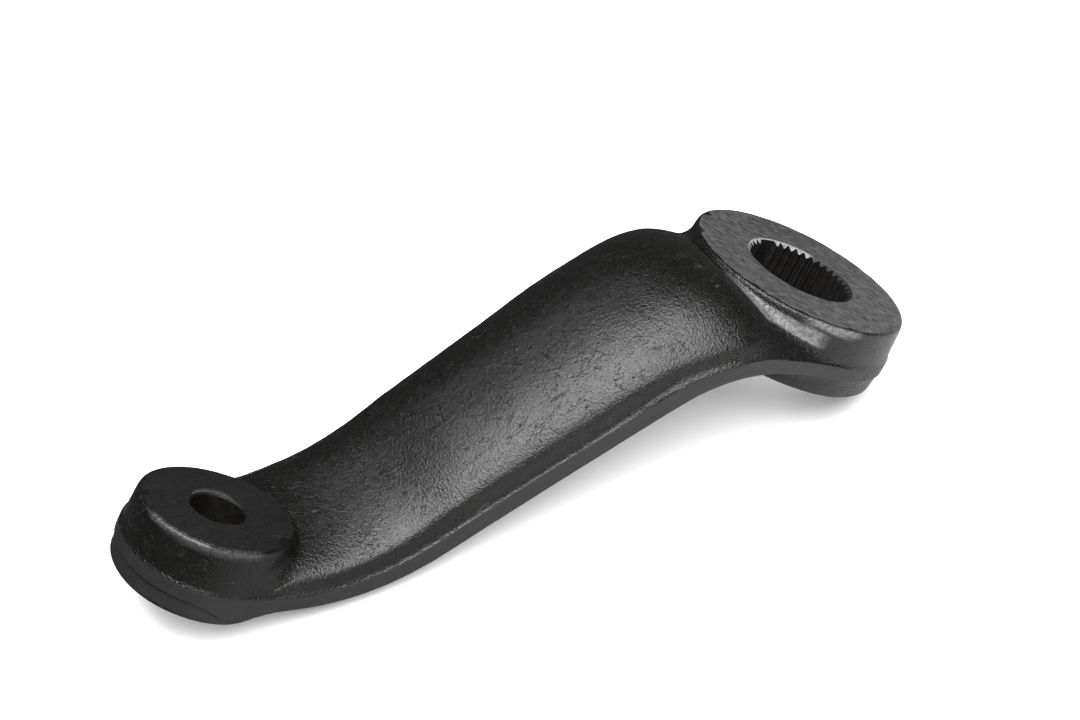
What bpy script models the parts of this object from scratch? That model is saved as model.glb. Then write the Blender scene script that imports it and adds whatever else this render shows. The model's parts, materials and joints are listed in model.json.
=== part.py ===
"""Pitman arm: one steel forging with a splined boss, a tapered-hole boss and an S-bent arm between them.

The forging is built as its two dies would shape it. One upper and one lower skin meet in the
vertical strip that trimming leaves round the parting line. Each skin runs from boss to boss in rows
that start as arcs round one boss and end as arcs round the other. The bores are cut afterwards, and
the arm is laid down on a level surface, as it comes to rest.

Arm axes while modelling: Z runs along both bores, X from the tapered hole to the splined bore, and
the origin is the middle of the tapered boss's upper face.
"""

import math

import bmesh
import bpy
from mathutils import Vector

MM = 0.001

# Overall layout
CENTRE_DISTANCE = 156.0 * MM
FACE_RISE = 90.5 * MM

# Splined boss
SPLINE_FACE_RADIUS = 32.9 * MM
SPLINE_PARTING_RADIUS = 33.9 * MM
SPLINE_BOTTOM_RADIUS = 32.9 * MM
SPLINE_BOSS_THICKNESS = 21.5 * MM
SPLINE_PARTING_DEPTH = 13.0 * MM

# Tapered boss, whose upper face and hole lean sideways from the splined bore's axis
TAPER_FACE_RADIUS = 21.2 * MM
TAPER_PARTING_RADIUS = 22.3 * MM
TAPER_BOTTOM_RADIUS = 21.7 * MM
TAPER_BOSS_THICKNESS = 20.7 * MM
TAPER_PARTING_DEPTH = 13.3 * MM
TAPER_LEAN = math.radians(4.9)

# Rounding of the boss edges
SPLINE_EDGE_RADIUS = 1.0 * MM
TAPER_EDGE_RADIUS = 1.4 * MM
LOWER_EDGE_RADIUS = 0.8 * MM

# S-bend of the parting surface: a bend, a straight ramp and a bend back
LOWER_BEND_RADIUS = 66.0 * MM
UPPER_BEND_RADIUS = 48.0 * MM
LOWER_CORNER_FROM_TAPER = 33.0 * MM
UPPER_CORNER_FROM_SPLINE = 38.5 * MM

# Plan outline of the arm, which is slightly waisted between the bosses
WAIST = 1.4 * MM

# Trimmed strip along the parting line, its ledge, and the ground flanks of the tapered boss
STRIP_HALF_AT_BOSS = 2.3 * MM
STRIP_HALF_AT_MIDDLE = 3.0 * MM
LEDGE = 0.6 * MM
LEDGE_FALL = 0.3 * MM
FLANK_GRIND_DEPTH = 3.4 * MM

# Reach of the ground flanks, in radii of the tapered boss: from its middle line, and along the arm
FLANK_INNER = 0.75
FLANK_NOSE_END = -0.5
FLANK_FULL_TO = 0.1
FLANK_ARM_END = 0.55

# Crown of the upper skin: steps below the boss faces, and its swelling between them
CROWN_BELOW_TAPER_FACE = 1.2 * MM
CROWN_BELOW_SPLINE_FACE = 2.6 * MM
CROWN_SWELL = 5.8 * MM
SWELL_SKEW = 1.25

# Belly of the lower skin: steps above the boss undersides, and its swelling
BELLY_ABOVE_TAPER_BOTTOM = 3.4 * MM
BELLY_ABOVE_SPLINE_BOTTOM = 1.6 * MM
BELLY_SWELL = 0.9 * MM

# Corner fillet where the arm runs into a boss wall, and how it and the face's edge share a low step
CORNER_FILLET = 2.6 * MM
FILLET_SHARE = 0.45
EDGE_SHARE = 0.35
FILLET_FADE = 10
FILLET_REACH_AT_END = 0.3
FILLET_ROOM = 1.6

# Splined bore
SPLINE_TEETH = 40
TEETH_LEFT_OUT = 2
INDEX_ANGLE = math.radians(90.0)
SPLINE_ROOT_RADIUS = 16.25 * MM
SPLINE_TIP_RADIUS = 15.25 * MM
SPLINE_MOUTH_RADIUS = 16.55 * MM
SPLINE_CHAMFER_ANGLE = math.radians(40.0)
TOOTH_ROOT_SHARE = 0.84
TOOTH_TIP_SHARE = 0.14

# Tapered hole, small end up
TAPER_HOLE_TOP_DIAMETER = 14.5 * MM
TAPER_RATIO = 1.0 / 8.0
TAPER_HOLE_BREAK = 0.5 * MM

# Numbers of facets
ACROSS = 25
OUTER = 35
STATIONS = 22
FILLET_STEPS = 3
ROUND_STEPS = 2
HOLE_SIDES = 64

# Shape of the skin across the arm: full from the tapered boss on, leaner at the splined boss
FULLNESS = 2.6
EDGE_AT_TAPER = 0.38
EDGE_AT_MIDDLE = 0.5
EDGE_AT_SPLINE = 1.0
BELLY_EDGE = 0.75

# Shares of the arm's length over which that shape changes
TAPER_SHAPE_END = 0.35
SPLINE_SHAPE_START = 0.90
SPLINE_SHAPE_END = 1.04

SMOOTH_ANGLE = math.radians(32.0)

# Steps of the search for where an arc meets the outline
HALVINGS = 50

# How far a cutter reaches past the face that it opens
CUT_PAST = 4.0 * MM

PAINT_COLOUR = (0.012, 0.012, 0.013, 1.0)
PAINT_ROUGHNESS = 0.36
PAINT_METALLIC = 0.0


def smoothstep(low, high, value):
    """Return 0 below low and 1 above high, with a smooth change between."""
    t = min(max((value - low) / (high - low), 0.0), 1.0)
    return t * t * (3.0 - 2.0 * t)


class PartingCurve:
    """Height of the parting surface along the arm, the same right across it."""

    def __init__(self):
        self.low = -TAPER_PARTING_DEPTH
        self.high = FACE_RISE - SPLINE_PARTING_DEPTH
        lower_corner = LOWER_CORNER_FROM_TAPER
        upper_corner = CENTRE_DISTANCE - UPPER_CORNER_FROM_SPLINE
        self.slope = (self.high - self.low) / (upper_corner - lower_corner)
        angle = math.atan(self.slope)
        lower_tangent = LOWER_BEND_RADIUS * math.tan(angle / 2)
        upper_tangent = UPPER_BEND_RADIUS * math.tan(angle / 2)
        self.bend_start = lower_corner - lower_tangent
        self.ramp_start = lower_corner + lower_tangent * math.cos(angle)
        self.ramp_end = upper_corner - upper_tangent * math.cos(angle)
        self.bend_end = upper_corner + upper_tangent
        self.lower_corner = lower_corner

    def height(self, x):
        if x <= self.bend_start:
            return self.low
        if x < self.ramp_start:
            run = x - self.bend_start
            return self.low + LOWER_BEND_RADIUS - math.sqrt(LOWER_BEND_RADIUS ** 2 - run ** 2)
        if x < self.ramp_end:
            return self.low + self.slope * (x - self.lower_corner)
        if x < self.bend_end:
            run = self.bend_end - x
            return self.high - UPPER_BEND_RADIUS + math.sqrt(UPPER_BEND_RADIUS ** 2 - run ** 2)
        return self.high

    def steepness(self, x):
        """Vertical thickness of a layer of unit thickness at this place."""
        if x <= self.bend_start or x >= self.bend_end:
            return 1.0
        if x < self.ramp_start:
            return 1.0 / math.sqrt(1.0 - ((x - self.bend_start) / LOWER_BEND_RADIUS) ** 2)
        if x < self.ramp_end:
            return math.hypot(1.0, self.slope)
        return 1.0 / math.sqrt(1.0 - ((self.bend_end - x) / UPPER_BEND_RADIUS) ** 2)


class Outline:
    """Plan outline of the forging, drawn in from the trimmed edge by an inset."""

    def __init__(self, inset):
        self.taper_radius = TAPER_PARTING_RADIUS - inset
        self.spline_radius = SPLINE_PARTING_RADIUS - inset
        self.flare = (self.spline_radius - self.taper_radius) / CENTRE_DISTANCE
        self.stretch = 1.0 / math.sqrt(1.0 - self.flare ** 2)

    def half_width(self, x):
        along = min(max(x / CENTRE_DISTANCE, 0.0), 1.0)
        belt = (self.taper_radius + self.flare * x) * self.stretch
        return belt - WAIST * math.sin(math.pi * along) ** 2

    def end_angle(self, boss, radius):
        """Angle, from the arm's middle line, at which an arc round a boss meets the outline."""
        low = 0.0
        high = boss.tangent_angle(self)
        for _ in range(HALVINGS):
            angle = (low + high) / 2
            x, y = boss.place(radius, angle)
            if y < self.half_width(x):
                low = angle
            else:
                high = angle
        return high


class Boss:
    """One boss as one die sees it: its axis, its face, and which way the arm leaves it."""

    def __init__(self, axis_x, toward, face_radius, face_z, edge_radius, lean=0.0):
        self.axis_x = axis_x
        self.toward = toward
        self.face_radius = face_radius
        self.face_z = face_z
        self.edge_radius = edge_radius
        self.fall = math.tan(lean)

    def face_height(self, y):
        """Height of the face, which falls towards +Y where it leans."""
        return self.face_z - self.fall * y

    def place(self, radius, angle):
        """Plan position at an angle that is 0 towards the arm."""
        return self.axis_x + self.toward * radius * math.cos(angle), radius * math.sin(angle)

    def tangent_angle(self, outline):
        return math.acos(-self.toward * outline.flare)

    def base_radius(self, outline):
        return outline.spline_radius if self.toward < 0 else outline.taper_radius


PARTING = PartingCurve()
TRIMMED = Outline(0.0)
LEDGED = Outline(LEDGE)


def strip_half_height(x):
    """Half the vertical height of the trimmed strip."""
    along = min(max(x / CENTRE_DISTANCE, 0.0), 1.0)
    bulge = math.sin(math.pi * along) ** 2
    half = STRIP_HALF_AT_BOSS + (STRIP_HALF_AT_MIDDLE - STRIP_HALF_AT_BOSS) * bulge
    return half * PARTING.steepness(x)


def flank_grind(x, y):
    """How far the strip runs down the flanks of the tapered boss, where it was ground."""
    lobe = smoothstep(FLANK_INNER, 1.0, abs(y) / TAPER_PARTING_RADIUS)
    clear_of_nose = smoothstep(FLANK_NOSE_END, 0.0, x / TAPER_PARTING_RADIUS)
    clear_of_arm = 1.0 - smoothstep(FLANK_FULL_TO, FLANK_ARM_END, x / TAPER_PARTING_RADIUS)
    return FLANK_GRIND_DEPTH * lobe * clear_of_nose * clear_of_arm


class Skin:
    """The upper or the lower skin of the forging; side is +1 for the upper one."""

    def __init__(self, side):
        self.side = side
        if side > 0:
            self.taper = Boss(0.0, 1, TAPER_FACE_RADIUS, 0.0, TAPER_EDGE_RADIUS, TAPER_LEAN)
            self.spline = Boss(CENTRE_DISTANCE, -1, SPLINE_FACE_RADIUS, FACE_RISE, SPLINE_EDGE_RADIUS)
            self.taper_step = CROWN_BELOW_TAPER_FACE
            self.spline_step = CROWN_BELOW_SPLINE_FACE
            self.swell = CROWN_SWELL
        else:
            taper_bottom = -TAPER_BOSS_THICKNESS
            spline_bottom = FACE_RISE - SPLINE_BOSS_THICKNESS
            self.taper = Boss(0.0, 1, TAPER_BOTTOM_RADIUS, taper_bottom, LOWER_EDGE_RADIUS)
            self.spline = Boss(CENTRE_DISTANCE, -1, SPLINE_BOTTOM_RADIUS, spline_bottom, LOWER_EDGE_RADIUS)
            self.taper_step = BELLY_ABOVE_TAPER_BOTTOM
            self.spline_step = BELLY_ABOVE_SPLINE_BOTTOM
            self.swell = BELLY_SWELL
        self.start_x = self.taper.face_radius
        self.end_x = CENTRE_DISTANCE - self.spline.face_radius
        self.start_offset = self.offset_at(self.start_x, self.taper.face_z, self.taper_step)
        self.end_offset = self.offset_at(self.end_x, self.spline.face_z, self.spline_step)

    def offset_at(self, x, face_z, step):
        """Thickness between the parting surface and a skin that lies a step inside a boss face."""
        return self.side * (face_z - self.side * step - PARTING.height(x)) / PARTING.steepness(x)

    def edge_z(self, x, y):
        """Height of the skin's own edge, at the trimmed strip."""
        depth = strip_half_height(x)
        if self.side < 0:
            depth += flank_grind(x, y)
        return PARTING.height(x) + self.side * depth

    def edge_shape(self, x):
        if self.side < 0:
            return BELLY_EDGE
        along = (x - self.start_x) / (self.end_x - self.start_x)
        shape = EDGE_AT_TAPER + (EDGE_AT_MIDDLE - EDGE_AT_TAPER) * smoothstep(0.0, TAPER_SHAPE_END, along)
        return shape + (EDGE_AT_SPLINE - shape) * smoothstep(SPLINE_SHAPE_START, SPLINE_SHAPE_END, along)

    def height(self, x, y):
        """Height of the arm's skin at a plan position."""
        along = min(max((x - self.start_x) / (self.end_x - self.start_x), 0.0), 1.0)
        offset = self.start_offset + (self.end_offset - self.start_offset) * along
        offset += self.swell * math.sin(math.pi * along ** SWELL_SKEW)
        top = PARTING.height(x) + self.side * offset * PARTING.steepness(x)
        edge = self.edge_z(x, y)
        across = min(abs(y) / LEDGED.half_width(x), 1.0)
        return edge + (top - edge) * (1.0 - across ** FULLNESS) ** self.edge_shape(x)

    def wall_radius(self, boss, depth, full_depth):
        """Radius of a drafted boss wall at a depth below its face."""
        return boss.face_radius + (boss.base_radius(LEDGED) - boss.face_radius) * min(depth / full_depth, 1.0)

    def boss_full_depth(self, boss):
        return abs(boss.face_z - self.edge_z(boss.axis_x, 0.0))


def edge_round(boss, size, steps):
    """Points of a boss's rounded edge as (inset from the face radius, depth below the face)."""
    points = []
    for k in range(steps + 1):
        turn = math.pi / 2 * k / steps
        points.append((size * (1.0 - math.sin(turn)), size * (1.0 - math.cos(turn))))
    return points


def inner_column(skin, boss, share):
    """Points from a boss's face edge to the arm's skin, at one share of the inner arc."""
    rows = []
    tangent = boss.tangent_angle(LEDGED)
    angle = share * tangent
    full = skin.boss_full_depth(boss)
    x, y = boss.place(boss.base_radius(LEDGED), angle)
    crown = skin.height(x, y)
    step = skin.side * (boss.face_height(y) - crown)
    size = min(boss.edge_radius, EDGE_SHARE * step)
    fillet = min(CORNER_FILLET, FILLET_SHARE * step)
    for inset, depth in edge_round(boss, size, ROUND_STEPS):
        px, py = boss.place(boss.face_radius - inset, angle)
        rows.append((px, py, boss.face_height(py) - skin.side * depth))
    near_end = abs(share) ** FILLET_FADE
    for k in range(FILLET_STEPS + 1):
        turn = math.pi / 2 * k / FILLET_STEPS
        away = fillet * (1.0 - math.cos(turn))
        rise = fillet * (1.0 - math.sin(turn))
        wall = skin.wall_radius(boss, step - fillet, full)
        end_radius = boss.base_radius(LEDGED) + CORNER_FILLET * FILLET_REACH_AT_END * (k / FILLET_STEPS) ** 2
        radius = (wall + away) * (1.0 - near_end) + end_radius * near_end
        end = LEDGED.end_angle(boss, end_radius) if k else tangent
        px, py = boss.place(radius, share * end)
        z = skin.height(px, py) + skin.side * rise * (1.0 - near_end)
        rows.append((px, py, z))
    return rows


def outer_column(skin, boss, angle):
    """Points from a boss's face edge down to its ledge, on the side away from the arm."""
    rows = []
    base = boss.base_radius(LEDGED)
    x, y = boss.place(base, angle)
    base_z = skin.edge_z(x, y)
    for inset, depth in edge_round(boss, boss.edge_radius, ROUND_STEPS):
        px, py = boss.place(boss.face_radius - inset, angle)
        rows.append((px, py, boss.face_height(py) - skin.side * depth))
    rows.append((x, y, base_z))
    return rows


def station_row(skin, middle_x):
    """Points right across the arm at a station, blended from arcs round the two bosses."""
    taper_radius = middle_x
    spline_radius = CENTRE_DISTANCE - middle_x
    taper_end = LEDGED.end_angle(skin.taper, taper_radius)
    spline_end = LEDGED.end_angle(skin.spline, spline_radius)
    blend = smoothstep(TAPER_PARTING_RADIUS, CENTRE_DISTANCE - SPLINE_PARTING_RADIUS, middle_x)
    row = []
    for i in range(ACROSS + 1):
        share = -1.0 + 2.0 * i / ACROSS
        ax, ay = skin.taper.place(taper_radius, share * taper_end)
        bx, by = skin.spline.place(spline_radius, share * spline_end)
        row.append((ax + (bx - ax) * blend, ay + (by - ay) * blend))
    reach = LEDGED.half_width(row[0][0]) / abs(row[0][1])
    points = []
    for x, y in row:
        points.append((x, y * reach, skin.height(x, y * reach)))
    return points


def build_skin(bm, side):
    """Add one skin, and return its edge loop, in order round the outline."""
    skin = Skin(side)

    def new_row(points):
        return [bm.verts.new(p) for p in points]

    def strip(a, b):
        for i in range(len(a) - 1):
            bm.faces.new((a[i], a[i + 1], b[i + 1], b[i]))

    shares = [-1.0 + 2.0 * i / ACROSS for i in range(ACROSS + 1)]
    inner = {}
    outer = {}
    for name, boss in (("taper", skin.taper), ("spline", skin.spline)):
        columns = [inner_column(skin, boss, share) for share in shares]
        inner[name] = [new_row(row) for row in zip(*columns)]
        for low, high in zip(inner[name], inner[name][1:]):
            strip(low, high)
        tangent = boss.tangent_angle(LEDGED)
        sweep = 2 * math.pi - 2 * tangent
        angles = [tangent + sweep * i / OUTER for i in range(1, OUTER)]
        columns = [outer_column(skin, boss, angle) for angle in angles]
        rows = [new_row(row) for row in zip(*columns)]
        for k, row in enumerate(rows):
            row.insert(0, inner[name][k][-1])
            row.append(inner[name][k][0])
        for low, high in zip(rows, rows[1:]):
            strip(low, high)
        outer[name] = rows[-1]
        bm.faces.new(inner[name][0] + rows[0][1:-1])

    first = skin.taper.base_radius(LEDGED) + FILLET_ROOM * CORNER_FILLET
    last = CENTRE_DISTANCE - skin.spline.base_radius(LEDGED) - FILLET_ROOM * CORNER_FILLET
    chain = [inner["taper"][-1]]
    for k in range(STATIONS + 1):
        chain.append(new_row(station_row(skin, first + (last - first) * k / STATIONS)))
    chain.append(inner["spline"][-1])
    for low, high in zip(chain, chain[1:]):
        strip(low, high)

    arm = inner["taper"][ROUND_STEPS + 1:-1] + chain + inner["spline"][-2:ROUND_STEPS:-1]
    far_side = [row[-1] for row in arm]
    near_side = [row[0] for row in reversed(arm)]
    return far_side + outer["spline"][1:-1] + near_side + outer["taper"][-2:0:-1]


def outward(point):
    """Plan position on the trimmed outline that belongs to a point of the ledged one."""
    x, y = point.x, point.y
    if 0.0 < x < CENTRE_DISTANCE:
        return x, math.copysign(TRIMMED.half_width(x), y)
    axis_x, radius = (0.0, TAPER_PARTING_RADIUS) if x <= 0.0 else (CENTRE_DISTANCE, SPLINE_PARTING_RADIUS)
    reach = radius / math.hypot(x - axis_x, y)
    return axis_x + (x - axis_x) * reach, y * reach


def build_strip(bm, upper, lower):
    """Join the two skins by their ledges and the trimmed strip between them."""
    high_edge = []
    low_edge = []
    for top, bottom in zip(upper, lower):
        x, y = outward(top.co)
        high_edge.append(bm.verts.new((x, y, top.co.z - LEDGE_FALL)))
        low_edge.append(bm.verts.new((x, y, bottom.co.z + LEDGE_FALL)))
    for first, second in ((upper, high_edge), (high_edge, low_edge), (low_edge, lower)):
        for i in range(len(first)):
            j = (i + 1) % len(first)
            bm.faces.new((first[i], first[j], second[j], second[i]))


def make_paint():
    """Satin black paint over the forged surface."""
    paint = bpy.data.materials.new("black_paint")
    paint.use_nodes = True
    shader = paint.node_tree.nodes["Principled BSDF"]
    shader.inputs["Base Color"].default_value = PAINT_COLOUR
    shader.inputs["Roughness"].default_value = PAINT_ROUGHNESS
    shader.inputs["Metallic"].default_value = PAINT_METALLIC
    return paint


def finish_mesh(bm, name):
    """Turn a bmesh into an object whose faces point outwards."""
    bmesh.ops.recalc_face_normals(bm, faces=bm.faces)
    mesh = bpy.data.meshes.new(name)
    bm.to_mesh(mesh)
    bm.free()
    obj = bpy.data.objects.new(name, mesh)
    bpy.context.scene.collection.objects.link(obj)
    return obj


def make_forging():
    """The uncut forging, still along the arm's own axes."""
    bm = bmesh.new()
    upper = build_skin(bm, 1)
    lower = build_skin(bm, -1)
    build_strip(bm, upper, lower)
    obj = finish_mesh(bm, "pitman_arm")
    obj.data.materials.append(make_paint())
    obj.data.shade_smooth()
    obj.data.set_sharp_from_angle(angle=SMOOTH_ANGLE)
    return obj


def spline_points():
    """Corners of the toothed bore as (angle, radius), once round."""
    pitch = 2 * math.pi / SPLINE_TEETH
    points = []
    for k in range(SPLINE_TEETH):
        centre = INDEX_ANGLE + pitch * (k + 0.5 + TEETH_LEFT_OUT / 2)
        left_out = k >= SPLINE_TEETH - TEETH_LEFT_OUT
        tip = SPLINE_ROOT_RADIUS if left_out else SPLINE_TIP_RADIUS
        points.append((centre - TOOTH_ROOT_SHARE * pitch / 2, SPLINE_ROOT_RADIUS))
        points.append((centre - TOOTH_TIP_SHARE * pitch / 2, tip))
        points.append((centre + TOOTH_TIP_SHARE * pitch / 2, tip))
        points.append((centre + TOOTH_ROOT_SHARE * pitch / 2, SPLINE_ROOT_RADIUS))
    return points


def add_rings(bm, rings):
    """Skin a stack of point rings, listed from the top down, and close both ends."""
    loops = [[bm.verts.new(p) for p in ring] for ring in rings]
    for high, low in zip(loops, loops[1:]):
        for i in range(len(high)):
            j = (i + 1) % len(high)
            bm.faces.new((high[i], high[j], low[j], low[i]))
    bm.faces.new(loops[0])
    bm.faces.new(list(reversed(loops[-1])))


def make_spline_cutter():
    """The splined bore with a chamfered mouth at both faces."""
    top = FACE_RISE
    bottom = FACE_RISE - SPLINE_BOSS_THICKNESS
    fall = math.tan(SPLINE_CHAMFER_ANGLE)
    corners = spline_points()

    def ring(radius_and_height):
        points = []
        for angle, radius in corners:
            r, z = radius_and_height(radius)
            points.append((CENTRE_DISTANCE + r * math.cos(angle), r * math.sin(angle), z))
        return points

    wide = SPLINE_MOUTH_RADIUS + CUT_PAST / fall
    bm = bmesh.new()
    add_rings(bm, [
        ring(lambda radius: (wide, top + CUT_PAST)),
        ring(lambda radius: (radius, top - (SPLINE_MOUTH_RADIUS - radius) * fall)),
        ring(lambda radius: (radius, bottom + (SPLINE_MOUTH_RADIUS - radius) * fall)),
        ring(lambda radius: (wide, bottom - CUT_PAST)),
    ])
    return finish_mesh(bm, "splined_bore_cutter")


def make_taper_cutter():
    """The tapered hole, small end up, with its edge broken at the upper face that it is square to."""
    top_radius = TAPER_HOLE_TOP_DIAMETER / 2
    depth = TAPER_BOSS_THICKNESS + CUT_PAST
    profile = [
        (top_radius + TAPER_HOLE_BREAK + CUT_PAST, CUT_PAST),
        (top_radius + TAPER_HOLE_BREAK * TAPER_RATIO / 2, -TAPER_HOLE_BREAK),
        (top_radius + depth * TAPER_RATIO / 2, -depth),
    ]
    bm = bmesh.new()
    rings = []
    for radius, z in profile:
        turns = [2 * math.pi * i / HOLE_SIDES for i in range(HOLE_SIDES)]
        rings.append([(radius * math.cos(turn), radius * math.sin(turn), z) for turn in turns])
    add_rings(bm, rings)
    cutter = finish_mesh(bm, "tapered_hole_cutter")
    cutter.rotation_euler = (-TAPER_LEAN, 0.0, 0.0)
    return cutter


def cut(target, cutter):
    """Take a hidden cutter out of the target."""
    cutter.hide_render = True
    cutter.display_type = "WIRE"
    boolean = target.modifiers.new(cutter.name, "BOOLEAN")
    boolean.operation = "DIFFERENCE"
    boolean.solver = "EXACT"
    boolean.object = cutter


def rest_tilt(points):
    """Tilt at which the arm lies on the splined boss's outer rim and whatever meets the floor next."""
    rim = max(points, key=lambda p: (p.x - p.z, p.x))
    steepest = 0.0
    for p in points:
        if p.x < rim.x - SPLINE_BOTTOM_RADIUS:
            steepest = max(steepest, (rim.z - p.z) / (rim.x - p.x))
    return math.atan(steepest)


def lay_down(arm, cutters):
    """Lay the arm on the floor, with its box centred over the origin."""
    points = [vertex.co.copy() for vertex in arm.data.vertices]
    tilt = rest_tilt(points)
    cosine = math.cos(tilt)
    sine = math.sin(tilt)
    turned = [Vector((p.x * cosine + p.z * sine, p.y, p.z * cosine - p.x * sine)) for p in points]
    middle_x = (min(p.x for p in turned) + max(p.x for p in turned)) / 2
    rest = bpy.data.objects.new("resting_position", None)
    bpy.context.scene.collection.objects.link(rest)
    rest.rotation_euler = (0.0, tilt, 0.0)
    rest.location = (-middle_x, 0.0, -min(p.z for p in turned))
    for obj in [arm] + cutters:
        obj.parent = rest


def main():
    for obj in list(bpy.data.objects):
        bpy.data.objects.remove(obj, do_unlink=True)
    arm = make_forging()
    cutters = [make_spline_cutter(), make_taper_cutter()]
    for cutter in cutters:
        cut(arm, cutter)
    lay_down(arm, cutters)


main()
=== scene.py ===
"""The pitman arm's surface: forged scale under satin-gloss black paint, ground faces and a trimmed strip.

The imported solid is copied, its facets are refined into a smooth skin with crisp trim lines, and the
skin is roughened as a forging is. Everything is in metres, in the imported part's own frame.
"""

import json
import math

import bmesh
import bpy
from mathutils import Matrix, Vector, kdtree, noise


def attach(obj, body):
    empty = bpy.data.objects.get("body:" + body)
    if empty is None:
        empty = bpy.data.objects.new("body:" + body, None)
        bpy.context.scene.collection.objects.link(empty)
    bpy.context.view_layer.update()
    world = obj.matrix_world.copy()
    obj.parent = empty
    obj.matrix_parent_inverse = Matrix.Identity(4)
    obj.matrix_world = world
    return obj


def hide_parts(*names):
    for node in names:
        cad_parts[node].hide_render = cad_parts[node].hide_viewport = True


MM = 0.001
MILLIMETRES_PER_METRE = 1000.0

# Camera, as the photograph was taken
CAMERA_PLACE = (-0.22466, -0.38542, 0.42551)
CAMERA_TURN = (49.104, -0.452, -30.337)
CAMERA_LENS = 73.834
SENSOR_WIDTH = 36.0
NEAREST_SEEN = 0.01

# The arm's own axes: origin at the middle of the tapered boss's upper face, Z along the splined bore
CENTRE_DISTANCE = 156.0 * MM
TAPER_LEAN = math.radians(4.9)
FACE_CENTRE = (-0.09012, 0.0, 0.02816)

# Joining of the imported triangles: nearest corners that merge, and how far apart triangles may bend
MERGE = 0.004 * MM
QUAD_FACE_ANGLE = math.radians(25.0)
QUAD_SHAPE_ANGLE = math.radians(60.0)

# Direction of the forging's streaks along the arm, and of the grinding streaks on the splined face
ARM_STREAKS = (0.95, 0.0, 0.32)
FACE_STREAKS = (0.535, -0.808, -0.287)

# Reach round each axis within which a wall belongs to the bore, and a level face to the boss
SPLINE_BORE_REACH = 18.0 * MM
TAPER_BORE_REACH = 10.0 * MM
SPLINE_FACE_REACH = 34.0 * MM
TAPER_FACE_REACH = 23.0 * MM

# How far the normal of each kind of face points along the bore: limits that tell the finishes apart
SPLINE_WALL_MAX_UP = 0.9
TAPER_WALL_MAX_UP = 0.8
CHAMFER_MIN_UP = 0.5
FACE_MIN_UP = 0.9995
STRIP_MAX_UP = 0.012

# Roughness of the forged skin: height and width of its waves
SWELL_HEIGHT = 0.09 * MM
SWELL_WIDTH = 12.0 * MM
LUMP_HEIGHT = 0.012 * MM
LUMP_WIDTH = 3.0 * MM
GRAIN_HEIGHT = 0.006 * MM
GRAIN_WIDTH = 1.3 * MM

# Saddle between the upper bend and the splined boss: where the skin is filled up and eased
SADDLE_FILL = 2.3 * MM
SADDLE_START = 84.0 * MM
SADDLE_END = 127.0 * MM
SADDLE_RISE = (95.0 * MM, 111.0 * MM)
SADDLE_EASE = (86.0 * MM, 100.0 * MM)
SADDLE_SIDE = (25.0 * MM, 31.0 * MM)
SADDLE_FROM_BOSS = (33.0 * MM, 36.5 * MM)
SADDLE_MIN_UP = 0.0
SADDLE_ROUNDS = 16
SADDLE_STEP = 0.5

# How much fuller the upper skin is than the solid: place along the arm and fullness
FULLNESS = (
    (14.0, 0.0), (34.0, 0.2), (50.0, 0.5), (65.0, 0.3),
    (80.0, 0.3), (95.0, 0.9), (118.0, 1.3), (132.0, 0.0),
)
FULL_WHEN_UP = (0.05, 0.5)

# How much wider the shoulders are than the solid: distance above the trimmed strip and width
SHOULDER = (
    (0.0, 0.0), (1.5, 0.25), (3.0, 0.7), (4.5, 1.1),
    (6.0, 1.3), (8.0, 0.9), (10.5, 0.3), (13.0, 0.0),
)
SHOULDER_RISE = (12.0 * MM, 28.0 * MM)
SHOULDER_FALL = (118.0 * MM, 132.0 * MM)

# Worn paint with painted highlights on the splined boss, and painted highlights on the tapered boss's rim
# and the hole's lip: ranges of angle round a boss (degrees), height (millimetres) and distance from its axis
SHEARED_WALL_AND_HIGHLIGHT = ((-171.0, -114.0), (87.7, 83.0), (88.9, 87.3), (32.0, 36.0))
SCRAPED_RIM_AND_HIGHLIGHT = ((-124.0, -96.0), (88.3, 88.3), (90.2, 90.2), (31.8, 33.5))
HOLE_LIP_HIGHLIGHT = ((30.0, 130.0), (-0.7, -0.7), (0.4, 0.4), (7.1, 7.7))
MOUTH_CHAMFER_AND_HIGHLIGHT = ((38.0, 172.0), (88.0, 88.0), (91.0, 91.0), (14.5, 17.5))
TAPER_RIM_HIGHLIGHT = ((-174.0, -84.0), (-1.2, 0.2), (0.3, 1.9), (19.8, 21.4))
MARK_FADE_ANGLE = 5.0
MARK_FADE = 0.3

# How strongly worn paint with painted highlights marks the splined boss, and how strong the painted
# highlight on the tapered boss's rim is
SPLINE_WEAR_AND_HIGHLIGHT = 0.8
RIM_HIGHLIGHT = 0.2

# Values stored on the vertices: worn paint with painted highlights, and the strip's border
WEAR_AND_HIGHLIGHT = "wear_and_highlight"
BORDER = "border"

# Finishes, in the order of the material slots
SKIN, STRIP, GROUND_FACE, TAPERED_FACE, BORE, MOUTH = range(6)

# Share of the forged skin's roughness that each finish has
ROUGH_SHARE = {SKIN: 1.0, STRIP: 0.35, GROUND_FACE: 0.0, TAPERED_FACE: 0.0, BORE: 0.0, MOUTH: 0.0}

CREASE_ANGLE = math.radians(48.0)
STRIP_CREASE = 0.8
STRIP_CREASE_AT_BOSS = 0.4
STRIP_ON_ARM = (18.0 * MM, 128.0 * MM)
SMOOTH_ANGLE = math.radians(36.0)
REFINEMENTS = 2

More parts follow.
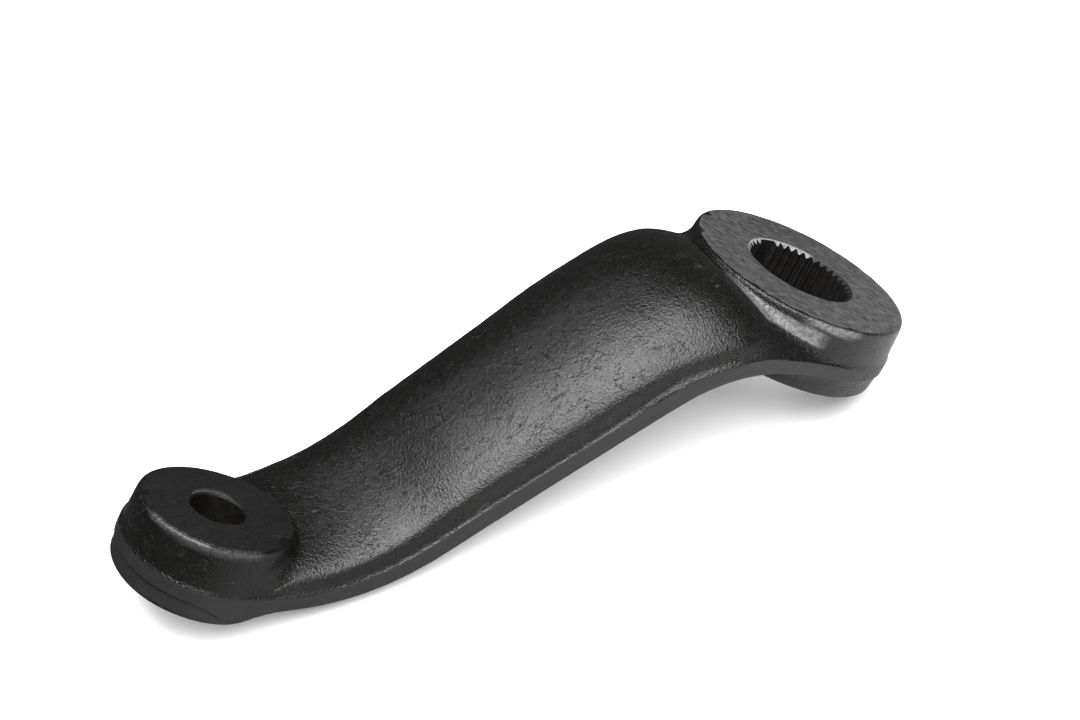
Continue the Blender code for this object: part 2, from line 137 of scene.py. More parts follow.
# Colours, linear: tones are the darker and the lighter one of a finish
SKIN_TONES = ((0.0022, 0.0022, 0.0021), (0.0042, 0.0040, 0.0034))
STRIP_TONES = ((0.008, 0.008, 0.0085), (0.014, 0.014, 0.0145))
GROUND_TONES = ((0.014, 0.014, 0.014), (0.070, 0.070, 0.071))
TAPERED_TONES = ((0.003, 0.003, 0.003), (0.007, 0.007, 0.0064))
BORE_TONES = ((0.0016, 0.0013, 0.0011), (0.0045, 0.0034, 0.0028))
MOUTH_TONES = ((0.012, 0.011, 0.011), (0.030, 0.028, 0.028))
SCUFF_COLOUR = (0.018, 0.0155, 0.0148)
# A real trim burr along the strip's border, painted lighter as the highlight its edge catches
BURR_HIGHLIGHT_COLOUR = (0.018, 0.018, 0.018)
# Sheared paint on the splined boss's wall and under its rim, painted lighter as a highlight there
SHEARED_AND_HIGHLIGHT_COLOUR = (0.15, 0.15, 0.155)
# Painted highlights on the tapered boss's rim and on the hole's far lip, light grey
RIM_AND_LIP_HIGHLIGHT_COLOUR = (0.2, 0.2, 0.2)
# Bare chamfers of the far side's teeth, painted brighter as a highlight
CHAMFER_AND_HIGHLIGHT_COLOUR = (0.34, 0.34, 0.345)
TABLE_COLOUR = (0.9, 0.9, 0.9, 1.0)
CARD_COLOUR = (0.01, 0.01, 0.01, 1.0)
BLACK = (0.0, 0.0, 0.0, 1.0)
WHITE = (1.0, 1.0, 1.0, 1.0)

# Roughness of each finish: from its glossiest to its dullest places, or one value
SKIN_GLOSS = (0.24, 0.33)
SCUFF_DULLNESS = 0.25
STRIP_GLOSS = (0.40, 0.52)
GROUND_ROUGHNESS = 0.50
TAPERED_GLOSS = (0.38, 0.50)
BORE_GLOSS = (0.50, 0.68)
MOUTH_ROUGHNESS = 0.45
TABLE_ROUGHNESS = 0.9
BARE_STEEL_SHARE = 0.2
BORE_SPECULAR = 0.3
TABLE_SPECULAR = 0.1

# Widths of the cloudy patterns that vary the colour and the gloss, in millimetres
MOTTLE_WIDTH = 14.0
SCUFF_WIDTH = 6.0
PATCH_WIDTH = 26.0
CALM_WIDTH = 9.0
MARK_UNEVEN_WIDTH = 0.9
BURR_HIGHLIGHT_WIDTH = 6.0
SKIN_GLOSS_WIDTH = 3.0
STRIP_TONE_WIDTH = 9.0
TAPERED_TONE_WIDTH = 3.5
TAPERED_GLOSS_WIDTH = 1.5
BORE_TONE_WIDTH = 2.0
BORE_GLOSS_WIDTH = 1.2
MOUTH_TONE_WIDTH = 1.5

# Ranges of a pattern's value, which runs from 0 to 1: its middle, and where each mark starts and is full
PATTERN_MIDDLE = 0.5
CLOUD_SPAN = (0.3, 0.7)
SCUFF_EDGE = (0.63, 0.66)
PATCH_EDGE = (0.50, 0.58)
MARK_UNEVEN_SPAN = (0.35, 0.62)
MARK_UNEVEN_SHARE = (0.45, 1.0)
BURR_HIGHLIGHT_BREAKS = (0.42, 0.62)
BURR_HIGHLIGHT_EDGE = (0.55, 0.95)
GRIND_EDGE = (0.35, 0.65)

# How the sprayed cells are pushed about: width and strength in millimetres
SKIN_BEND = (1.0, 0.6)
TAPERED_BEND = (1.2, 0.7)

# Relief patterns: width and depth in millimetres
SKIN_DENTS = (2.4, 0.05)
SKIN_PEEL = (0.62, 0.12)
SKIN_PEBBLES = (0.34, 0.15)
SKIN_CREASES = (4.2, 0.09)
STRIP_DRAG = (1.0, 0.03)
STRIP_GRAIN = (0.8, 0.02)
GROUND_STREAKS = (0.62, 0.42)
GROUND_DENTS = (2.6, 0.08)
TAPERED_DENTS = (2.4, 0.06)
TAPERED_PEEL = (0.8, 0.24)
TAPERED_PEBBLES = (0.5, 0.22)
BORE_GRAIN = (0.6, 0.04)

# Hairline creases of the skin: half their width in the pattern, and where the skin is calm
HAIRLINE = (0.0, 0.008)
CALM = (0.46, 0.54)

# How much streaks are longer than wide
PEBBLE_STRETCH = 1.6
CREASE_STRETCH = 2.6
DRAG_STRETCH = 10.0
GRIND_STRETCH = 4.0

# Softboxes: name, place, target, size and power (watts)
SOFTBOXES = (
    ("overhead_softbox_left", (-0.29, -0.32, 0.90), (-0.29, -0.32, 0.0), (0.46, 1.36), 18.0),
    ("overhead_softbox_right", (0.13, -0.46, 0.90), (0.13, -0.46, 0.0), (0.38, 0.92), 10.0),
    ("front_softbox", (-0.05, -1.06, 0.62), (0.0, 0.0, 0.02), (0.85, 0.45), 3.0),
)

# Pale room: how strongly it lights the table, and how bright it looks in the arm's gloss
ROOM_STRENGTH = 0.85
ROOM_IN_GLOSS = 0.05

# Table: its side, and how bright it looks in the gloss, from one place along X (millimetres) to another
TABLE_SIDE = 6.0
GLOSS_SPAN = (-220.0, 180.0)
TABLE_IN_GLOSS = (0.08, 0.5)

# Dark cards just above the table: name, middle and size
DARK_CARDS = (
    ("card_behind", (-0.05, 0.36), (0.9, 0.62)),
    ("card_on_the_left", (-0.52, -0.38), (0.8, 0.85)),
)
CARD_HEIGHT = 2.0 * MM


def deselect():
    bpy.ops.object.select_all(action="DESELECT")


def pick(piece):
    """Make one piece the only selected and the active one."""
    deselect()
    piece.select_set(True)
    bpy.context.view_layer.objects.active = piece


def arm_axes(record):
    """Matrix from the arm's own axes to the part's frame, from the splined boss's face mount."""
    mounts = {mount["name"]: mount for mount in record["mounts"]}
    axis = Vector(mounts["spline_boss_upper_face"]["axis"])
    tilt = math.atan2(axis.x, axis.z)
    return Matrix.Translation(FACE_CENTRE) @ Matrix.Rotation(tilt, 4, "Y")


def merged_copy(node, name):
    """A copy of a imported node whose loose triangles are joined, with its quads put together again."""
    piece = bpy.data.objects.new(name, node.data.copy())
    bpy.context.scene.collection.objects.link(piece)
    pick(piece)
    bpy.ops.object.mode_set(mode="EDIT")
    bpy.ops.mesh.select_all(action="SELECT")
    bpy.ops.mesh.remove_doubles(threshold=MERGE)
    bpy.ops.mesh.customdata_custom_splitnormals_clear()
    bpy.ops.mesh.tris_convert_to_quads(face_threshold=QUAD_FACE_ANGLE, shape_threshold=QUAD_SHAPE_ANGLE)
    bpy.ops.object.mode_set(mode="OBJECT")
    return piece


def sort_faces(piece, to_arm):
    """Give every face the finish of its zone: skin, strip, splined face, tapered face, bore or mouth."""
    turn = to_arm.to_3x3()
    spline_axis = Vector((CENTRE_DISTANCE, 0.0))
    lean = Vector((0.0, math.sin(TAPER_LEAN), math.cos(TAPER_LEAN)))
    for face in piece.data.polygons:
        place = to_arm @ face.center
        normal = turn @ face.normal
        from_spline = (place.xy - spline_axis).length
        from_taper = place.xy.length
        in_spline_bore = from_spline < SPLINE_BORE_REACH and abs(normal.z) < SPLINE_WALL_MAX_UP
        in_taper_bore = from_taper < TAPER_BORE_REACH and abs(normal.z) < TAPER_WALL_MAX_UP
        tapered_face = normal.dot(lean) > FACE_MIN_UP or normal.z < -FACE_MIN_UP
        if in_spline_bore and normal.z > CHAMFER_MIN_UP:
            face.material_index = MOUTH
        elif in_spline_bore or in_taper_bore:
            face.material_index = BORE
        elif abs(normal.z) > FACE_MIN_UP and from_spline < SPLINE_FACE_REACH:
            face.material_index = GROUND_FACE
        elif from_taper < TAPER_FACE_REACH and tapered_face:
            face.material_index = TAPERED_FACE
        elif abs(normal.z) < STRIP_MAX_UP:
            face.material_index = STRIP
        else:
            face.material_index = SKIN


def smoothstep(low, high, value):
    """0 up to low, 1 from high on, with a smooth rise between them."""
    share = min(max((value - low) / (high - low), 0.0), 1.0)
    return share * share * (3.0 - 2.0 * share)


def ease_saddle(piece, to_arm):
    """Fill up the dip between the upper bend and the splined boss, and let the bend run smooth."""
    turn = to_arm.to_3x3()
    up = turn.inverted() @ Vector((0.0, 0.0, 1.0))
    bm = bmesh.new()
    bm.from_mesh(piece.data)
    saddle = []
    for vertex in bm.verts:
        place = to_arm @ vertex.co
        from_spline = math.hypot(place.x - CENTRE_DISTANCE, place.y)
        on_saddle = SADDLE_START < place.x < SADDLE_END and from_spline > SADDLE_FROM_BOSS[0]
        skin = all(face.material_index == SKIN for face in vertex.link_faces)
        if not on_saddle or not skin or (turn @ vertex.normal).z < SADDLE_MIN_UP:
            continue
        inward = 1.0 - smoothstep(*SADDLE_SIDE, abs(place.y))
        lift = SADDLE_FILL * smoothstep(*SADDLE_RISE, place.x) * smoothstep(*SADDLE_FROM_BOSS, from_spline)
        vertex.co += up * (lift * inward)
        saddle.append((vertex, vertex.co.copy(), smoothstep(*SADDLE_EASE, place.x) * inward))
    eased = [vertex for vertex, _, _ in saddle]
    for _ in range(SADDLE_ROUNDS):
        bmesh.ops.smooth_vert(
            bm, verts=eased, factor=SADDLE_STEP, use_axis_x=True, use_axis_y=True, use_axis_z=True
        )
    for vertex, before, share in saddle:
        vertex.co = before.lerp(vertex.co, share)
    bm.to_mesh(piece.data)
    bm.free()


def along_table(table, value):
    """Value read from a table of (place, value) pairs, with straight lines between them."""
    if value <= table[0][0]:
        return table[0][1]
    for (x0, y0), (x1, y1) in zip(table, table[1:]):
        if value <= x1:
            return y0 + (y1 - y0) * (value - x0) / (x1 - x0)
    return table[-1][1]


def zones_of_vertices(mesh):
    """The finishes that meet at every vertex."""
    zones = [set() for _ in mesh.vertices]
    for face in mesh.polygons:
        for index in face.vertices:
            zones[index].add(face.material_index)
    return zones


def widen_shoulders(piece, to_arm):
    """Move the shoulders above the trimmed strip outwards, so that the flanks are low and steep."""
    turn = to_arm.to_3x3()
    sideways = turn.inverted() @ Vector((0.0, 1.0, 0.0))
    mesh = piece.data
    zones = zones_of_vertices(mesh)
    on_border = [v for v in mesh.vertices if {SKIN, STRIP} <= zones[v.index]]
    upper_border = [to_arm @ v.co for v in on_border if (turn @ v.normal).z > 0.0]
    tree = kdtree.KDTree(len(upper_border))
    for index, place in enumerate(upper_border):
        tree.insert((place.x, 0.0, place.z), index)
    tree.balance()
    for vertex in mesh.vertices:
        place = to_arm @ vertex.co
        if zones[vertex.index] != {SKIN} or not SHOULDER_RISE[0] < place.x < SHOULDER_FALL[1]:
            continue
        foot, _, distance = tree.find((place.x, 0.0, place.z))
        if place.z < foot.z:
            continue
        push = along_table(SHOULDER, distance / MM) * MM
        push *= smoothstep(*SHOULDER_RISE, place.x) * (1.0 - smoothstep(*SHOULDER_FALL, place.x))
        vertex.co += sideways * math.copysign(push, place.y)
    mesh.update()


def fill_out(piece, to_arm):
    """Push the upper skin out to the fullness that the photograph's outline shows."""
    turn = to_arm.to_3x3()
    mesh = piece.data
    normals = [vertex.normal.copy() for vertex in mesh.vertices]
    for vertex, normal, zones in zip(mesh.vertices, normals, zones_of_vertices(mesh)):
        if zones == {SKIN}:
            place = to_arm @ vertex.co
            from_spline = math.hypot(place.x - CENTRE_DISTANCE, place.y)
            push = along_table(FULLNESS, place.x / MM) * MM
            push *= smoothstep(*FULL_WHEN_UP, (turn @ normal).z) * smoothstep(*SADDLE_FROM_BOSS, from_spline)
            vertex.co += normal * push
    mesh.update()


def inside(low, high, fade, value):
    """1 well inside a range, 0 outside, with soft ends."""
    return smoothstep(low - fade, low + fade, value) * (1.0 - smoothstep(high - fade, high + fade, value))


def wear_and_highlight_at(place, axis_x, zone):
    """How strongly one zone of worn paint and painted highlight marks a place (millimetres, arm's axes)."""
    angles, low, high, reach = zone
    angle = math.degrees(math.atan2(place.y, place.x - axis_x))
    distance = math.hypot(place.x - axis_x, place.y)
    share = min(max((angle - angles[0]) / (angles[1] - angles[0]), 0.0), 1.0)
    bottom = low[0] + (low[1] - low[0]) * share
    top = high[0] + (high[1] - high[0]) * share
    wear_and_highlight = inside(*angles, MARK_FADE_ANGLE, angle) * inside(bottom, top, MARK_FADE, place.z)
    return wear_and_highlight * inside(*reach, MARK_FADE, distance)


def mark_wear_and_highlights(piece, to_arm):
    """Store on every vertex its worn paint and painted highlights, and whether it lies on the strip's
    border.
    """
    zones = zones_of_vertices(piece.data)
    wear_and_highlight = piece.data.attributes.new(WEAR_AND_HIGHLIGHT, "FLOAT", "POINT")
    border = piece.data.attributes.new(BORDER, "FLOAT", "POINT")
    on_spline_boss = (SHEARED_WALL_AND_HIGHLIGHT, SCRAPED_RIM_AND_HIGHLIGHT, MOUTH_CHAMFER_AND_HIGHLIGHT)
    spline_axis_x = CENTRE_DISTANCE / MM
    taper_axis_x = 0.0
    for vertex in piece.data.vertices:
        place = (to_arm @ vertex.co) / MM
        # Worn paint with painted highlights on the splined boss; painted highlights on the tapered boss's
        # rim and the hole's lip
        worn_and_highlit = max(wear_and_highlight_at(place, spline_axis_x, zone) for zone in on_spline_boss)
        rim = wear_and_highlight_at(place, taper_axis_x, TAPER_RIM_HIGHLIGHT) * RIM_HIGHLIGHT
        lip_and_rim_highlight = max(wear_and_highlight_at(place, taper_axis_x, HOLE_LIP_HIGHLIGHT), rim)
        wear_and_highlight.data[vertex.index].value = max(worn_and_highlit * SPLINE_WEAR_AND_HIGHLIGHT, lip_and_rim_highlight)
        on_arm = STRIP_ON_ARM[0] < place.x * MM < STRIP_ON_ARM[1]
        trimmed = on_arm and {SKIN, STRIP} <= zones[vertex.index]
        border.data[vertex.index].value = 1.0 if trimmed else 0.0


def crease_edges(piece, to_arm):
    """Keep the trim lines and the teeth sharp, and let the rest run smooth."""
    bm = bmesh.new()
    bm.from_mesh(piece.data)
    edge_crease = bm.edges.layers.float.new("crease_edge")
    corner_crease = bm.verts.layers.float.new("crease_vert")
    for edge in bm.edges:
        if len(edge.link_faces) != 2:
            continue
        first, second = edge.link_faces
        zones = {first.material_index, second.material_index}
        angle = edge.calc_face_angle(0.0)
        if zones & {BORE, MOUTH}:
            edge[edge_crease] = 1.0
            for corner in edge.verts:
                corner[corner_crease] = 1.0
        elif zones & {STRIP}:
            x = (to_arm @ edge.verts[0].co).x
            on_arm = STRIP_ON_ARM[0] < x < STRIP_ON_ARM[1]
            wall = first if second.material_index == STRIP else second
            above = (to_arm @ wall.calc_center_median()).z > (to_arm @ edge.verts[0].co).z
            edge[edge_crease] = STRIP_CREASE_AT_BOSS if above and not on_arm else STRIP_CREASE
        elif edge.is_convex and angle > CREASE_ANGLE:
            edge[edge_crease] = 1.0
    bm.to_mesh(piece.data)
    bm.free()


def refine(piece, levels):
    """Round the facets into a smooth skin."""
    pick(piece)
    smooth = piece.modifiers.new("smooth_skin", "SUBSURF")
    smooth.levels = levels
    smooth.render_levels = levels
    bpy.ops.object.modifier_apply(modifier=smooth.name)


def roughen(piece):
    """Push the skin in and out as forging scale does, less on the trimmed strip and not on the boss faces or
    in the bores.
    """
    mesh = piece.data
    weight = [1.0] * len(mesh.vertices)
    for face in mesh.polygons:
        for index in face.vertices:
            weight[index] = min(weight[index], ROUGH_SHARE[face.material_index])
    normals = [vertex.normal.copy() for vertex in mesh.vertices]
    for vertex, normal, amount in zip(mesh.vertices, normals, weight):
        if amount == 0.0:
            continue
        swell = noise.noise(vertex.co / SWELL_WIDTH) * SWELL_HEIGHT
        lump = noise.noise(vertex.co / LUMP_WIDTH) * LUMP_HEIGHT
        grain = noise.noise(vertex.co / GRAIN_WIDTH) * GRAIN_HEIGHT
        vertex.co += normal * amount * (swell + lump + grain)
    mesh.update()


class Surface:
    """Node building for one material, on Object coordinates in millimetres."""

    def __init__(self, name):
        self.material = bpy.data.materials.new(name)
        self.material.use_nodes = True
        self.tree = self.material.node_tree
        self.shader = self.tree.nodes["Principled BSDF"]
        coordinates = self.tree.nodes.new("ShaderNodeTexCoord")
        scale = self.tree.nodes.new("ShaderNodeMapping")
        scale.inputs["Scale"].default_value = [MILLIMETRES_PER_METRE] * 3
        self.join(coordinates.outputs["Object"], scale.inputs["Vector"])
        self.millimetres = scale.outputs["Vector"]

    def join(self, source, target):
        """Link one node's output to another node's input."""
        self.tree.links.new(source, target)

    def noise(self, width, detail=2.0, roughness=0.5, distortion=0.0, vector=None):
        """Cloudy pattern whose features are about width millimetres across."""
        node = self.tree.nodes.new("ShaderNodeTexNoise")
        node.inputs["Scale"].default_value = 1.0 / width
        node.inputs["Detail"].default_value = detail
        node.inputs["Roughness"].default_value = roughness
        node.inputs["Distortion"].default_value = distortion
        self.join(vector or self.millimetres, node.inputs["Vector"])
        return node.outputs["Fac"]

    def cells(self, width, vector):
        """Rounded cells about width millimetres across, as sprayed paint has."""
        node = self.tree.nodes.new("ShaderNodeTexVoronoi")
        node.feature = "SMOOTH_F1"
        node.inputs["Scale"].default_value = 1.0 / width
        self.join(vector, node.inputs["Vector"])
        return node.outputs["Distance"]

    def bent(self, width, strength):
        """The coordinates, pushed about by a cloudy pattern."""
        node = self.tree.nodes.new("ShaderNodeTexNoise")
        node.inputs["Scale"].default_value = 1.0 / width
        self.join(self.millimetres, node.inputs["Vector"])
        scaled = self.tree.nodes.new("ShaderNodeVectorMath")
        scaled.operation = "MULTIPLY_ADD"
        scaled.inputs[1].default_value = (strength, strength, strength)
        self.join(node.outputs["Color"], scaled.inputs[0])
        self.join(self.millimetres, scaled.inputs[2])
        return scaled.outputs["Vector"]

    def along(self, direction, stretch):
        """The coordinates stretched along a direction, for streaks."""
        node = self.tree.nodes.new("ShaderNodeMapping")
        node.vector_type = "TEXTURE"
        node.inputs["Rotation"].default_value = Vector(direction).to_track_quat("X", "Z").to_euler()
        node.inputs["Scale"].default_value = (stretch, 1.0, 1.0)
        self.join(self.millimetres, node.inputs["Vector"])
        return node.outputs["Vector"]

    def side(self):
        """The place along X, in millimetres."""
        node = self.tree.nodes.new("ShaderNodeSeparateXYZ")
        self.join(self.millimetres, node.inputs["Vector"])
        return node.outputs["X"]

    def between(self, value, low, high, start=0.0, end=1.0):
        """A value stretched from the range low to high to the range start to end."""
        node = self.tree.nodes.new("ShaderNodeMapRange")
        node.interpolation_type = "SMOOTHSTEP"
        for name, number in (("From Min", low), ("From Max", high), ("To Min", start), ("To Max", end)):
            node.inputs[name].default_value = number
        self.join(value, node.inputs["Value"])
        return node.outputs["Result"]

    def maths(self, operation, first, second=0.0):
        """One step of arithmetic on numbers or other nodes' outputs."""
        node = self.tree.nodes.new("ShaderNodeMath")
        node.operation = operation
        for socket, value in zip(node.inputs, (first, second)):
            if isinstance(value, (int, float)):
                socket.default_value = value
            else:
                self.join(value, socket)
        return node.outputs["Value"]

    def blend(self, share, first, second):
        """A colour between two colours, each a value or another node's output."""
        node = self.tree.nodes.new("ShaderNodeMix")
        node.data_type = "RGBA"
        self.join(share, node.inputs["Factor"])
        for name, colour in (("A", first), ("B", second)):
            socket = [s for s in node.inputs if s.name == name and s.type == "RGBA"][0]
            if isinstance(colour, tuple):
                socket.default_value = (*colour, 1.0)
            else:
                self.join(colour, socket)
        return [s for s in node.outputs if s.type == "RGBA"][0]

    def stored(self, name):
        """A value stored on the piece's vertices."""
        node = self.tree.nodes.new("ShaderNodeAttribute")
        node.attribute_name = name
        return node.outputs["Fac"]

    def worn_and_highlit(self, base, bare):
        """A colour that turns, unevenly, to the bare one where the paint is worn and where a highlight is
        painted.
        """
        uneven = self.between(self.noise(MARK_UNEVEN_WIDTH, detail=3.0, roughness=0.6), *MARK_UNEVEN_SPAN, *MARK_UNEVEN_SHARE)
        return self.blend(self.maths("MULTIPLY", self.stored(WEAR_AND_HIGHLIGHT), uneven), base, bare)

    def with_burr_highlight(self, base):
        """A colour with a thin lighter line along the strip's border: a trim burr, painted lighter as a
        highlight.
        """
        broken = self.between(self.noise(BURR_HIGHLIGHT_WIDTH, detail=3.0, roughness=0.6), *BURR_HIGHLIGHT_BREAKS)
        line = self.between(self.stored(BORDER), *BURR_HIGHLIGHT_EDGE)
        return self.blend(self.maths("MULTIPLY", line, broken), base, BURR_HIGHLIGHT_COLOUR)

    def colour(self, source):
        """Take the base colour from a node."""
        self.join(source, self.shader.inputs["Base Color"])

    def roughness(self, source):
        """Take the roughness from a node."""
        self.join(source, self.shader.inputs["Roughness"])

    def relief(self, layers):
        """Bumps, each as (height pattern, depth in millimetres)."""
        previous = None
        for pattern, depth in layers:
            node = self.tree.nodes.new("ShaderNodeBump")
            node.inputs["Strength"].default_value = 1.0
            node.inputs["Distance"].default_value = depth * MM
            self.join(pattern, node.inputs["Height"])
            if previous is not None:
                self.join(previous, node.inputs["Normal"])
            previous = node.outputs["Normal"]
        self.join(previous, self.shader.inputs["Normal"])


def forged_paint():
    """Satin-gloss black paint over fine pebbly scale, with hairlines along the arm and dull scuffs."""
    s = Surface("black_paint_on_forged_skin")
    mottle = s.noise(MOTTLE_WIDTH, detail=3.0)
    scuffs = s.between(s.noise(SCUFF_WIDTH, detail=4.0, roughness=0.6, distortion=0.6), *SCUFF_EDGE)
    patches = s.between(s.noise(PATCH_WIDTH, detail=1.0), *PATCH_EDGE)
    dull = s.maths("MULTIPLY", scuffs, patches)
    # Painted highlight along the strip's border, on top of the mottle and scuffs
    painted = s.with_burr_highlight(s.blend(dull, s.blend(mottle, *SKIN_TONES), SCUFF_COLOUR))
    # Lighter where the stored marks say: sheared paint with a painted highlight on the splined boss
    s.colour(s.worn_and_highlit(painted, SHEARED_AND_HIGHLIGHT_COLOUR))
    gloss = s.between(s.noise(SKIN_GLOSS_WIDTH, detail=3.0), *CLOUD_SPAN, *SKIN_GLOSS)
    s.roughness(s.maths("ADD", gloss, s.maths("MULTIPLY", dull, SCUFF_DULLNESS)))
    peel = s.cells(SKIN_PEEL[0], s.bent(*SKIN_BEND))
    grain = s.along(ARM_STREAKS, PEBBLE_STRETCH)
    pebbles = s.noise(SKIN_PEBBLES[0], detail=2.0, roughness=0.6, vector=grain)
    streaks = s.along(ARM_STREAKS, CREASE_STRETCH)
    wander = s.noise(SKIN_CREASES[0], detail=4.0, roughness=0.62, distortion=0.5, vector=streaks)
    ridge = s.maths("ABSOLUTE", s.maths("SUBTRACT", wander, PATTERN_MIDDLE))
    calm = s.between(s.noise(CALM_WIDTH, detail=1.0), *CALM, 1.0, 0.0)
    creases = s.maths("MAXIMUM", s.between(ridge, *HAIRLINE), calm)
    dents = s.noise(SKIN_DENTS[0])
    s.relief([
        (dents, SKIN_DENTS[1]), (peel, SKIN_PEEL[1]), (pebbles, SKIN_PEBBLES[1]), (creases, SKIN_CREASES[1]),
    ])
    return s.material


def strip_paint():
    """Paint over the trimmed strip: smoother, with faint drag marks along it."""
    s = Surface("black_paint_on_trimmed_strip")
    drag = s.noise(STRIP_DRAG[0], detail=3.0, vector=s.along(ARM_STREAKS, DRAG_STRETCH))
    # Painted highlight along the strip's border, as on the skin
    s.colour(s.with_burr_highlight(s.blend(s.noise(STRIP_TONE_WIDTH), *STRIP_TONES)))
    s.roughness(s.between(drag, *CLOUD_SPAN, *STRIP_GLOSS))
    s.relief([(drag, STRIP_DRAG[1]), (s.noise(STRIP_GRAIN[0]), STRIP_GRAIN[1])])
    return s.material


def ground_face_paint():
    """Thin paint over the rough-ground splined face: matte, with short wavy grinding streaks."""
    s = Surface("black_paint_on_ground_face")
    across = s.along(FACE_STREAKS, GRIND_STRETCH)
    streaks = s.noise(GROUND_STREAKS[0], detail=3.0, roughness=0.62, distortion=0.25, vector=across)
    s.colour(s.blend(s.between(streaks, *GRIND_EDGE), *GROUND_TONES))
    s.shader.inputs["Roughness"].default_value = GROUND_ROUGHNESS
    s.relief([(streaks, GROUND_STREAKS[1]), (s.noise(GROUND_DENTS[0], detail=1.0), GROUND_DENTS[1])])
    return s.material


def forged_face_paint():
    """Paint over the tapered boss's faces: dull, with fine pebbles, and light grey painted highlights on the
    rim and the hole's lip.
    """
    s = Surface("black_paint_on_tapered_face")
    # Painted highlights, light grey, on the rim and on the hole's far lip, from the stored marks
    s.colour(s.worn_and_highlit(s.blend(s.noise(TAPERED_TONE_WIDTH, detail=3.0), *TAPERED_TONES), RIM_AND_LIP_HIGHLIGHT_COLOUR))
    s.roughness(s.between(s.noise(TAPERED_GLOSS_WIDTH, detail=2.0), *CLOUD_SPAN, *TAPERED_GLOSS))
    dents = s.noise(TAPERED_DENTS[0])
    peel = s.cells(TAPERED_PEEL[0], s.bent(*TAPERED_BEND))
    pebbles = s.noise(TAPERED_PEBBLES[0])
    s.relief([(dents, TAPERED_DENTS[1]), (peel, TAPERED_PEEL[1]), (pebbles, TAPERED_PEBBLES[1])])
    return s.material


def bore_steel():
    """Machined steel in the bores, oiled and browned, under a film of paint."""
    s = Surface("oiled_steel_in_bores")
    s.colour(s.blend(s.noise(BORE_TONE_WIDTH, detail=3.0), *BORE_TONES))
    s.shader.inputs["Metallic"].default_value = BARE_STEEL_SHARE
    s.shader.inputs["Specular IOR Level"].default_value = BORE_SPECULAR
    s.roughness(s.between(s.noise(BORE_GLOSS_WIDTH), *CLOUD_SPAN, *BORE_GLOSS))
    s.relief([(s.noise(BORE_GRAIN[0], detail=3.0), BORE_GRAIN[1])])
    return s.material


def mouth_steel():
    """Bright chamfer at the splined bore's mouth, where the paint is thin on the teeth, with a painted
    highlight on the teeth of the far side.
    """
    s = Surface("bright_chamfer_of_splines")
    # Brighter chamfer where the stored marks say: bare steel with a painted highlight on the far side
    s.colour(s.worn_and_highlit(s.blend(s.noise(MOUTH_TONE_WIDTH), *MOUTH_TONES), CHAMFER_AND_HIGHLIGHT_COLOUR))
    s.shader.inputs["Metallic"].default_value = BARE_STEEL_SHARE
    s.shader.inputs["Roughness"].default_value = MOUTH_ROUGHNESS
    return s.material


def make_arm(node, record):
    """The whole arm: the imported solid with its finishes, refined, filled out and roughened."""
    to_arm = arm_axes(record).inverted()
    piece = merged_copy(node, "forged_arm")
    piece.data.materials.clear()
    finishes = (forged_paint, strip_paint, ground_face_paint, forged_face_paint, bore_steel, mouth_steel)
    for make_finish in finishes:
        piece.data.materials.append(make_finish())
    sort_faces(piece, to_arm)
    ease_saddle(piece, to_arm)
    crease_edges(piece, to_arm)
    refine(piece, REFINEMENTS)
    widen_shoulders(piece, to_arm)
    fill_out(piece, to_arm)
    # Painted highlights and worn paint, stored on the vertices for the materials
    mark_wear_and_highlights(piece, to_arm)
    roughen(piece)
    pick(piece)
    bpy.ops.object.shade_smooth_by_angle(angle=SMOOTH_ANGLE)
    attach(piece, "root")
    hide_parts("pitman_arm")
    return piece


def darken_in_gloss(s, share):
    """Show a surface darker in the arm's gloss than to the camera: share is what is left of it."""
    path = s.tree.nodes.new("ShaderNodeLightPath")
    dark = s.tree.nodes.new("ShaderNodeBsdfDiffuse")
    dark.inputs["Color"].default_value = BLACK
    mix = s.tree.nodes.new("ShaderNodeMixShader")
    loss = s.maths("SUBTRACT", 1.0, share)
    s.join(s.maths("MULTIPLY", path.outputs["Is Glossy Ray"], loss), mix.inputs["Fac"])
    s.join(s.shader.outputs["BSDF"], mix.inputs[1])
    s.join(dark.outputs["BSDF"], mix.inputs[2])
    s.join(mix.outputs["Shader"], s.tree.nodes["Material Output"].inputs["Surface"])


def make_floor():
    """White table top, far larger than the camera sees."""
    deselect()
    bpy.ops.mesh.primitive_plane_add(size=TABLE_SIDE, location=(0.0, 0.0, 0.0))
    floor = bpy.context.active_object
    floor.name = "white_table"
    s = Surface("white_table_top")
    s.shader.inputs["Base Color"].default_value = TABLE_COLOUR
    s.shader.inputs["Roughness"].default_value = TABLE_ROUGHNESS
    s.shader.inputs["Specular IOR Level"].default_value = TABLE_SPECULAR
    darken_in_gloss(s, s.between(s.side(), *GLOSS_SPAN, *TABLE_IN_GLOSS))
    floor.data.materials.append(s.material)


def add_softbox(name, place, target, size, power):
    """A rectangular area light that faces a target."""
    light = bpy.data.lights.new(name, "AREA")
    light.shape = "RECTANGLE"
    light.size, light.size_y = size
    light.energy = power
    box = bpy.data.objects.new(name, light)
    box.location = place
    box.rotation_euler = (Vector(target) - Vector(place)).to_track_quat("-Z", "Y").to_euler()
    bpy.context.scene.collection.objects.link(box)


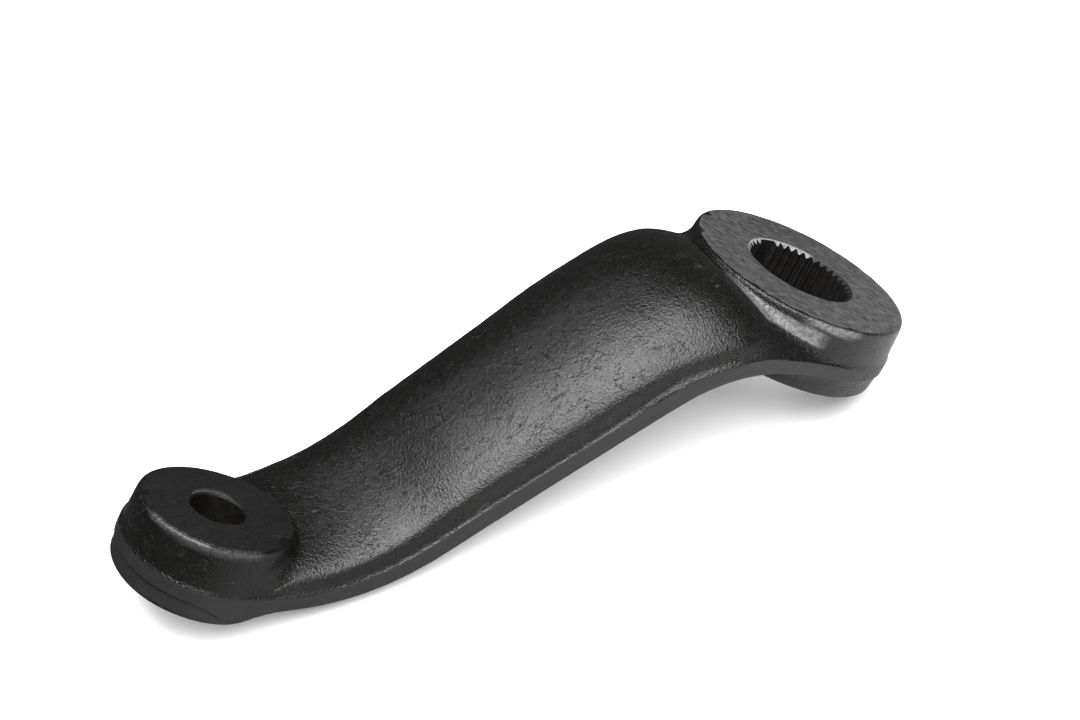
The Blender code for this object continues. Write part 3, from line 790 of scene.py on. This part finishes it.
def light_studio():
    """Two softboxes side by side overhead, one low in front and a room that lights the table evenly."""
    for softbox in SOFTBOXES:
        add_softbox(*softbox)
    world = bpy.data.worlds.new("pale_room")
    world.use_nodes = True
    tree = world.node_tree
    room = tree.nodes["Background"]
    room.inputs["Color"].default_value = WHITE
    room.inputs["Strength"].default_value = ROOM_STRENGTH
    gloom = tree.nodes.new("ShaderNodeBackground")
    gloom.inputs["Strength"].default_value = ROOM_IN_GLOSS
    path = tree.nodes.new("ShaderNodeLightPath")
    mix = tree.nodes.new("ShaderNodeMixShader")
    tree.links.new(path.outputs["Is Glossy Ray"], mix.inputs["Fac"])
    tree.links.new(room.outputs["Background"], mix.inputs[1])
    tree.links.new(gloom.outputs["Background"], mix.inputs[2])
    tree.links.new(mix.outputs["Shader"], tree.nodes["World Output"].inputs["Surface"])
    bpy.context.scene.world = world
    bpy.context.scene.view_settings.view_transform = "Standard"


def add_dark_card(name, middle, size):
    """A dark card just above the table, seen only in the arm's gloss."""
    deselect()
    bpy.ops.mesh.primitive_plane_add(size=1.0, location=(*middle, CARD_HEIGHT))
    card = bpy.context.active_object
    card.name = name
    card.scale = (*size, 1.0)
    s = Surface(name)
    s.shader.inputs["Base Color"].default_value = CARD_COLOUR
    s.shader.inputs["Roughness"].default_value = 1.0
    card.data.materials.append(s.material)
    card.visible_camera = False
    card.visible_diffuse = False
    card.visible_shadow = False


def set_camera():
    """The camera that took the photograph, as its four circles place it."""
    camera = bpy.data.cameras.new("camera")
    camera.sensor_width = SENSOR_WIDTH
    camera.lens = CAMERA_LENS
    camera.clip_start = NEAREST_SEEN
    holder = bpy.data.objects.new("camera", camera)
    holder.location = CAMERA_PLACE
    holder.rotation_euler = [math.radians(angle) for angle in CAMERA_TURN]
    bpy.context.scene.collection.objects.link(holder)
    bpy.context.scene.camera = holder


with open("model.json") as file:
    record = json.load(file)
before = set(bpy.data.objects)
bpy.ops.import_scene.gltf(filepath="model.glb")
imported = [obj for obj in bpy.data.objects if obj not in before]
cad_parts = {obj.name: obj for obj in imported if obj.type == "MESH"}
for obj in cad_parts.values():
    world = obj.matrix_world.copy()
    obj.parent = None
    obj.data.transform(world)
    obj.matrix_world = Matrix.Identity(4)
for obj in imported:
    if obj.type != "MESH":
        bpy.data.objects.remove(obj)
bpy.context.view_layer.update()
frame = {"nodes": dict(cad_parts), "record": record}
set_camera()
make_floor()
for dark_card in DARK_CARDS:
    add_dark_card(*dark_card)
light_studio()
make_arm(frame["nodes"]["pitman_arm"], frame["record"])
